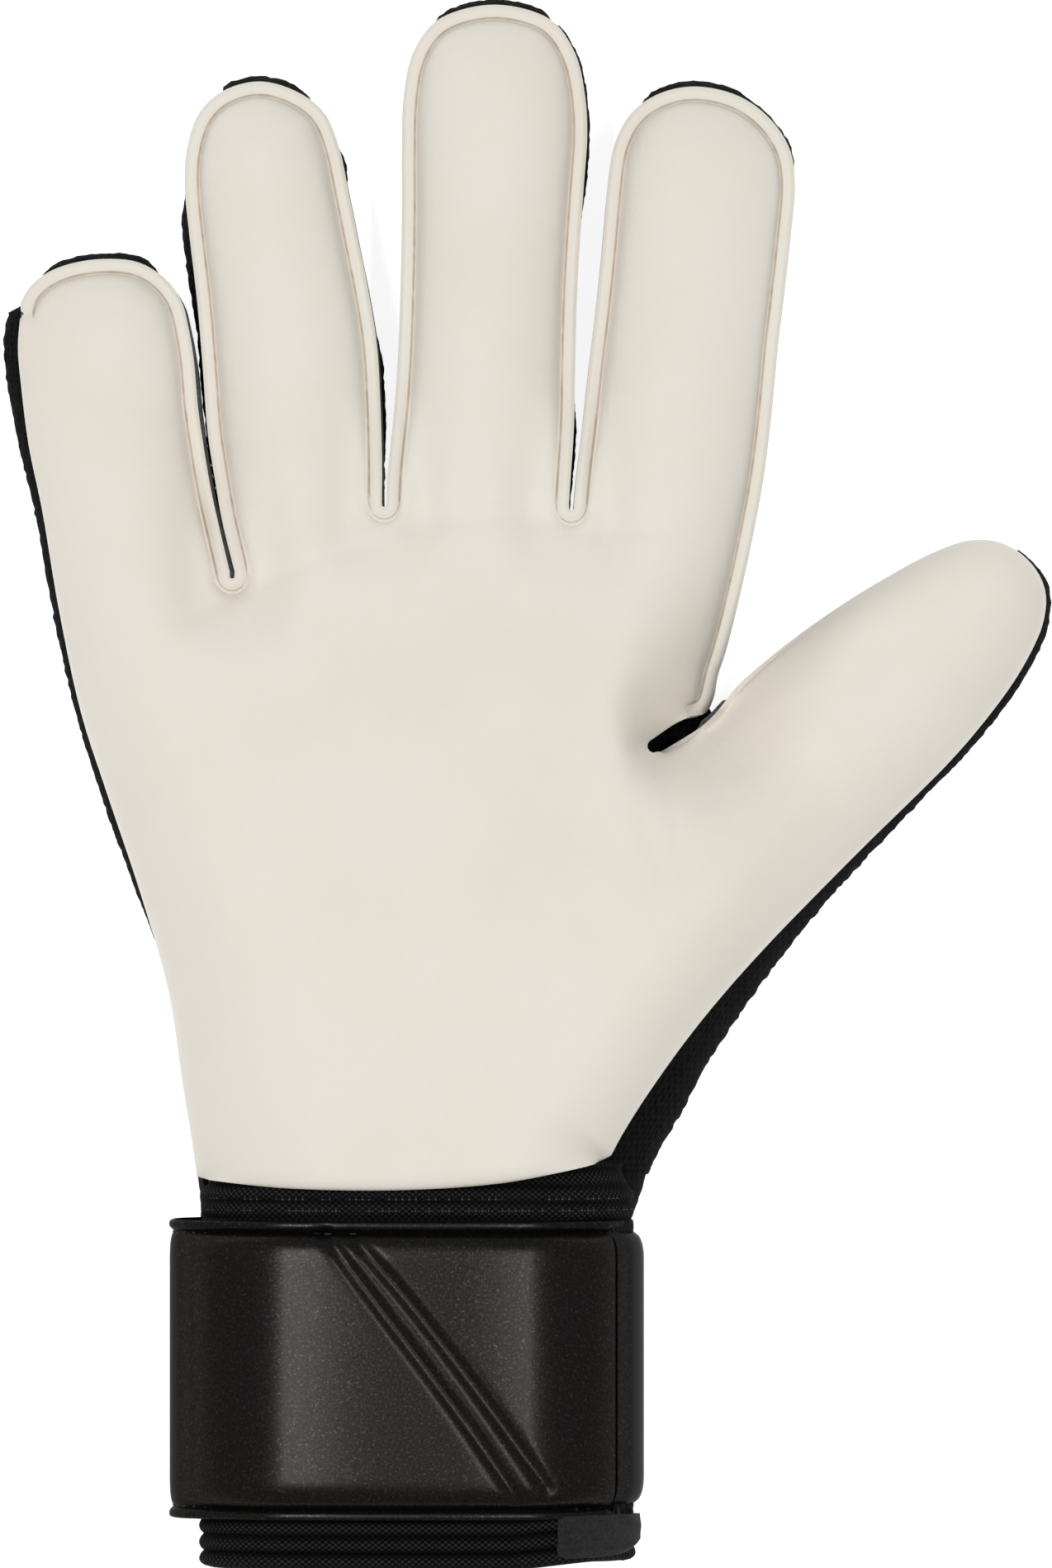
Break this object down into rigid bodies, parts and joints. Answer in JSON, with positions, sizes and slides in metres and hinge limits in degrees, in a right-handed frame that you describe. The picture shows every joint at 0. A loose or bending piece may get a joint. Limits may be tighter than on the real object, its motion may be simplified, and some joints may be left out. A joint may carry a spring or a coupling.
{
  "type": "goalkeeper glove",
  "caption": "Padded football goalkeeper glove for the right hand: latex palm, jointed fingers and thumb, knitted gussets, ribbed cuff and a padded wrist strap with a closing tab.",
  "frame": {"origin": "middle of the whole glove's box in plan, at the underside it lies on", "axes": "+Z out of the palm, +Y towards the fingertips, +X towards the thumb"},
  "size_m": [0.1819, 0.2723, 0.0495],
  "materials": {
    "latex": "matte foam latex, off white",
    "backhand": "matte black padded backhand",
    "mesh": "black knitted mesh",
    "lining": "dark towelling lining",
    "bandage": "black ribbed elastic knit",
    "strap": "satin black coated fabric",
    "foam": "grey foam",
    "hook": "black hook tape",
    "loop": "black loop tape",
    "brushed": "brushed black fabric"
  },
  "bodies": {
    "hand": {"palm_latex": "latex", "backhand": "backhand", "ulnar_gusset": "mesh", "little_ring_web": "mesh", "ring_middle_web": "mesh", "middle_index_web": "mesh", "thumb_side_gusset": "mesh", "thumb_web_gusset": "mesh", "palm_lining": "lining", "backhand_lining": "lining", "wrist_bandage": "bandage", "cuff_hem": "bandage", "cuff_flap": "brushed", "strap_lining": "brushed", "strap_foam": "foam", "strap_skin": "strap", "loop_patch": "loop"},
    "little_proximal": {"little_proximal_latex": "latex", "little_proximal_back": "backhand", "little_proximal_gusset_outer": "mesh", "little_proximal_gusset_inner": "mesh"},
    "little_distal": {"little_distal_latex": "latex", "little_distal_back": "backhand", "little_distal_gusset": "mesh"},
    "ring_proximal": {"ring_proximal_latex": "latex", "ring_proximal_back": "backhand", "ring_proximal_gusset_outer": "mesh", "ring_proximal_gusset_inner": "mesh"},
    "ring_distal": {"ring_distal_latex": "latex", "ring_distal_back": "backhand", "ring_distal_gusset": "mesh"},
    "middle_proximal": {"middle_proximal_latex": "latex", "middle_proximal_back": "backhand", "middle_proximal_gusset_outer": "mesh", "middle_proximal_gusset_inner": "mesh"},
    "middle_distal": {"middle_distal_latex": "latex", "middle_distal_back": "backhand", "middle_distal_gusset": "mesh"},
    "index_proximal": {"index_proximal_latex": "latex", "index_proximal_back": "backhand", "index_proximal_gusset_outer": "mesh", "index_proximal_gusset_inner": "mesh"},
    "index_distal": {"index_distal_latex": "latex", "index_distal_back": "backhand", "index_distal_gusset": "mesh"},
    "thumb_proximal": {"thumb_proximal_latex": "latex", "thumb_proximal_back": "backhand", "thumb_proximal_gusset_outer": "mesh", "thumb_proximal_gusset_inner": "mesh"},
    "thumb_distal": {"thumb_distal_latex": "latex", "thumb_distal_back": "backhand", "thumb_distal_gusset": "mesh"},
    "strap_tab": {"tab_skin": "strap", "tab_foam": "foam", "hook_patch": "hook"}
  },
  "joints": [
    {"name": "little_knuckle", "type": "hinge", "parent": "hand", "child": "little_proximal", "pos_m": [-0.07355, 0.04685, 0.016], "axis": [1, 0, 0], "range_deg": [0, 70], "stiffness_Nm_per_rad": 0.03},
    {"name": "little_mid", "type": "hinge", "parent": "little_proximal", "child": "little_distal", "pos_m": [-0.07607, 0.06735, 0.016], "axis": [1, 0, 0], "range_deg": [0, 80], "stiffness_Nm_per_rad": 0.015},
    {"name": "ring_knuckle", "type": "hinge", "parent": "hand", "child": "ring_proximal", "pos_m": [-0.0436, 0.05335, 0.016], "axis": [1, 0, 0], "range_deg": [0, 70], "stiffness_Nm_per_rad": 0.03},
    {"name": "ring_mid", "type": "hinge", "parent": "ring_proximal", "child": "ring_distal", "pos_m": [-0.04512, 0.07885, 0.016], "axis": [1, 0, 0], "range_deg": [0, 80], "stiffness_Nm_per_rad": 0.015},
    {"name": "middle_knuckle", "type": "hinge", "parent": "hand", "child": "middle_proximal", "pos_m": [-0.01169, 0.05335, 0.016], "axis": [1, 0, 0], "range_deg": [0, 70], "stiffness_Nm_per_rad": 0.03},
    {"name": "middle_mid", "type": "hinge", "parent": "middle_proximal", "child": "middle_distal", "pos_m": [-0.01014, 0.08285, 0.016], "axis": [1, 0, 0], "range_deg": [0, 80], "stiffness_Nm_per_rad": 0.015},
    {"name": "index_knuckle", "type": "hinge", "parent": "hand", "child": "index_proximal", "pos_m": [0.02167, 0.05285, 0.016], "axis": [1, 0, 0], "range_deg": [0, 70], "stiffness_Nm_per_rad": 0.03},
    {"name": "index_mid", "type": "hinge", "parent": "index_proximal", "child": "index_distal", "pos_m": [0.02449, 0.07885, 0.016], "axis": [1, 0, 0], "range_deg": [0, 80], "stiffness_Nm_per_rad": 0.015},
    {"name": "thumb_base", "type": "hinge", "parent": "hand", "child": "thumb_proximal", "pos_m": [0.04509, 0.00282, 0.016], "axis": [0.6947, -0.7193, 0], "range_deg": [0, 40], "stiffness_Nm_per_rad": 0.03},
    {"name": "thumb_tip", "type": "hinge", "parent": "thumb_proximal", "child": "thumb_distal", "pos_m": [0.06504, 0.02208, 0.0199], "axis": [0.6947, -0.7193, 0], "range_deg": [0, 60], "stiffness_Nm_per_rad": 0.015},
    {"name": "strap_tab", "type": "hinge", "parent": "hand", "child": "strap_tab", "pos_m": [0.01672, -0.10175, 0.039], "axis": [0, -1, 0], "range_deg": [0, 130]}
  ]
}
